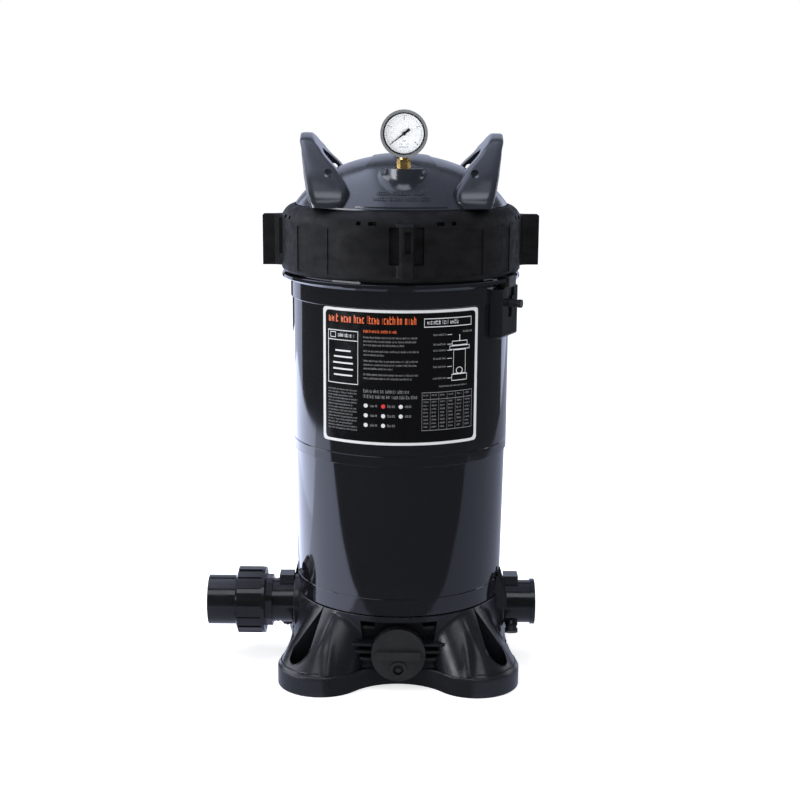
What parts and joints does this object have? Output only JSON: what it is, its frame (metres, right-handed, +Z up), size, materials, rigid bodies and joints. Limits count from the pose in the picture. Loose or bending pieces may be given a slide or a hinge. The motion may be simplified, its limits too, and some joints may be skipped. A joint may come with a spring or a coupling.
{
  "type": "cartridge filter housing",
  "caption": "Upright cartridge filter housing with screw-on lock ring lid, pressure gauge, lifting handles, side ports, drain cap and lobed stand.",
  "frame": {"origin": "on the floor under the tank axis, at the centre of the four anchor holes", "axes": "+Z up along the tank axis; the label, gauge face and drain cap look to -Y; the inlet union is on -X and the outlet stub on +X"},
  "size_m": [0.4825, 0.3902, 0.8001],
  "materials": {
    "tank_black": "glossy black moulded tank",
    "lid_slate": "glossy dark slate moulding",
    "ring_black": "dull glass filled black",
    "stand_black": "semi gloss black moulding",
    "port_black": "glossy black pipe",
    "cap_black": "dull black moulding",
    "seal": "black rubber",
    "washer_nylon": "natural nylon",
    "label": "printed black film, white border",
    "brass": "machined brass",
    "gauge_case": "black pressed steel",
    "gauge_bezel": "grey satin bezel",
    "dial_white": "white printed dial",
    "lens": "clear lens",
    "needle_black": "black pointer",
    "filter_media": "white pleated polyester",
    "core_white": "white perforated tube",
    "filter_cap": "blue moulded end cap",
    "spring_steel": "stainless spring wire"
  },
  "bodies": {
    "root": {"base_stand": "stand_black", "port_manifold": "port_black", "tank_lower": "tank_black", "tank_upper": "tank_black", "label_plate": "label", "union_adaptor": "port_black", "union_oring": "seal", "cartridge_pleats": "filter_media", "cartridge_core": "core_white", "cartridge_bottom_cap": "filter_cap", "cartridge_top_cap": "filter_cap", "outlet_spigot": "port_black", "spigot_oring": "seal", "lock_spring": "spring_steel"},
    "lid": {"lid_dome": "lid_slate", "lid_handle_left": "lid_slate", "lid_handle_right": "lid_slate", "lid_oring": "seal", "slip_washer": "washer_nylon", "gauge_stem": "brass", "gauge_case": "gauge_case", "gauge_bezel": "gauge_bezel", "gauge_dial": "dial_white", "gauge_lens": "lens", "gauge_movement": "brass", "bleed_body": "brass"},
    "lock_ring": {"lock_ring": "ring_black"},
    "needle": {"gauge_needle": "needle_black"},
    "bleed_seal": {"bleed_oring": "seal"},
    "bleed_knob": {"bleed_knob": "cap_black"},
    "lock_tab": {"lock_tab": "cap_black", "lock_knob": "cap_black"},
    "drain_seal": {"drain_seal": "seal"},
    "drain_cap": {"drain_cap": "cap_black", "drain_pin": "cap_black"},
    "union_tail": {"union_tail": "port_black"},
    "union_nut": {"union_nut": "port_black"},
    "plug_seal_left": {"plug_seal_left": "seal"},
    "plug_left": {"port_plug_left": "cap_black"},
    "plug_seal_right": {"plug_seal_right": "seal"},
    "plug_right": {"port_plug_right": "cap_black"}
  },
  "joints": [
    {"name": "lid_rise", "type": "slide", "parent": "root", "child": "lid", "axis": [0, 0, 1], "range_m": [0, 0.0702]},
    {"name": "ring_turn", "type": "hinge", "parent": "lid", "child": "lock_ring", "pos_m": [0, 0, 0.62], "axis": [0, 0, 1], "range_deg": [0, 900]},
    {"name": "lock_tab_slide", "type": "slide", "parent": "root", "child": "lock_tab", "axis": [0, 0, -1], "range_m": [0, 0.012], "stiffness_N_per_m": 300, "springref_m": -0.004, "deforming": ["lock_spring"]},
    {"name": "needle_turn", "type": "hinge", "parent": "lid", "child": "needle", "pos_m": [0.003, -0.1, 0.7686], "axis": [0, 1, 0], "range_deg": [0, 256]},
    {"name": "bleed_rise", "type": "slide", "parent": "lid", "child": "bleed_seal", "axis": [0, 0, 1], "range_m": [0, 0.00605]},
    {"name": "bleed_turn", "type": "hinge", "parent": "bleed_seal", "child": "bleed_knob", "pos_m": [0, 0.012, 0.757], "axis": [0, 0, 1], "range_deg": [0, 1080]},
    {"name": "drain_out", "type": "slide", "parent": "root", "child": "drain_seal", "axis": [0, -1, 0], "range_m": [0, 0.0242]},
    {"name": "drain_turn", "type": "hinge", "parent": "drain_seal", "child": "drain_cap", "pos_m": [0, -0.14, 0.052], "axis": [0, -1, 0], "range_deg": [0, 2160]},
    {"name": "union_out", "type": "slide", "parent": "root", "child": "union_tail", "axis": [-1, 0, 0], "range_m": [0, 0.0202]},
    {"name": "union_turn", "type": "hinge", "parent": "union_tail", "child": "union_nut", "pos_m": [-0.217, 0, 0.081], "axis": [-1, 0, 0], "range_deg": [0, 1440]},
    {"name": "plug_out_left", "type": "slide", "parent": "root", "child": "plug_seal_left", "axis": [0, 0.5, -0.866], "range_m": [0, 0.0152]},
    {"name": "plug_turn_left", "type": "hinge", "parent": "plug_seal_left", "child": "plug_left", "pos_m": [-0.167, 0.02, 0.04636], "axis": [0, 0.5, -0.866], "range_deg": [0, 1800]},
    {"name": "plug_out_right", "type": "slide", "parent": "root", "child": "plug_seal_right", "axis": [0, -0.5, -0.866], "range_m": [0, 0.0152]},
    {"name": "plug_turn_right", "type": "hinge", "parent": "plug_seal_right", "child": "plug_right", "pos_m": [0.167, -0.02, 0.04636], "axis": [0, -0.5, -0.866], "range_deg": [0, 1800]}
  ],
  "couplings": [
    {"joint": "lid_rise", "follows": "ring_turn", "m_per_rad": 0.0044563},
    {"joint": "bleed_rise", "follows": "bleed_turn", "m_per_rad": 0.00031831},
    {"joint": "drain_out", "follows": "drain_turn", "m_per_rad": 0.00063662},
    {"joint": "union_out", "follows": "union_turn", "m_per_rad": 0.00079577},
    {"joint": "plug_out_left", "follows": "plug_turn_left", "m_per_rad": 0.00047746},
    {"joint": "plug_out_right", "follows": "plug_turn_right", "m_per_rad": 0.00047746}
  ]
}
